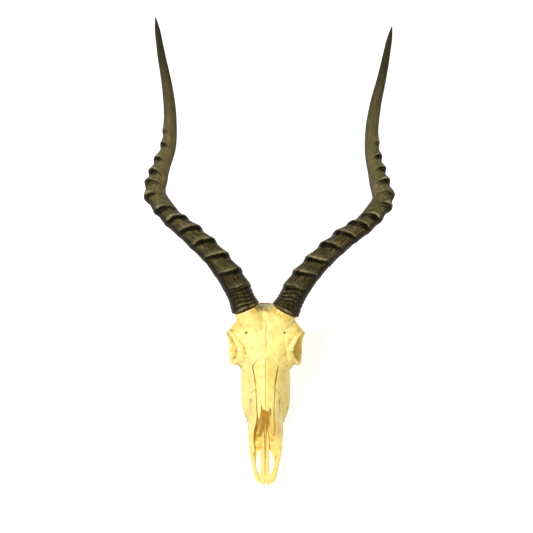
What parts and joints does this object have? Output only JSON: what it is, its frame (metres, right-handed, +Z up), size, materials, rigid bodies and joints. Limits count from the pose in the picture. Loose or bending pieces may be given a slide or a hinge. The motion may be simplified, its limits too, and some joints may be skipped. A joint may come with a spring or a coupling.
{
  "type": "impala skull with horns",
  "caption": "Cleaned skull of an impala ram without its lower jaw, carrying a pair of ringed, S-curved horns.",
  "frame": {"origin": "middle of the bounding box in X and Y, on the surface that the skull stands on", "axes": "+X is the animal's left, -Y is where the nose points, +Z is up with the tooth rows flat on the surface"},
  "size_m": [0.3192, 0.4964, 0.3282],
  "materials": {
    "bone": "dry cream bone, matt with a faint sheen",
    "inner_bone": "thin golden-ochre bone inside the nose, matt",
    "horn": "olive-brown keratin, fibrous, slightly glossy",
    "tooth": "stained enamel"
  },
  "bodies": {
    "root": {"skull": "bone", "horn_left": "horn", "horn_right": "horn", "nasal_left": "bone", "premaxilla_left": "bone", "turbinate_left": "inner_bone", "premolar_2_left": "tooth", "premolar_3_left": "tooth", "premolar_4_left": "tooth", "molar_1_left": "tooth", "molar_2_left": "tooth", "molar_3_left": "tooth", "nasal_right": "bone", "premaxilla_right": "bone", "turbinate_right": "inner_bone", "premolar_2_right": "tooth", "premolar_3_right": "tooth", "premolar_4_right": "tooth", "molar_1_right": "tooth", "molar_2_right": "tooth", "molar_3_right": "tooth", "vomer": "inner_bone"}
  },
  "joints": []
}
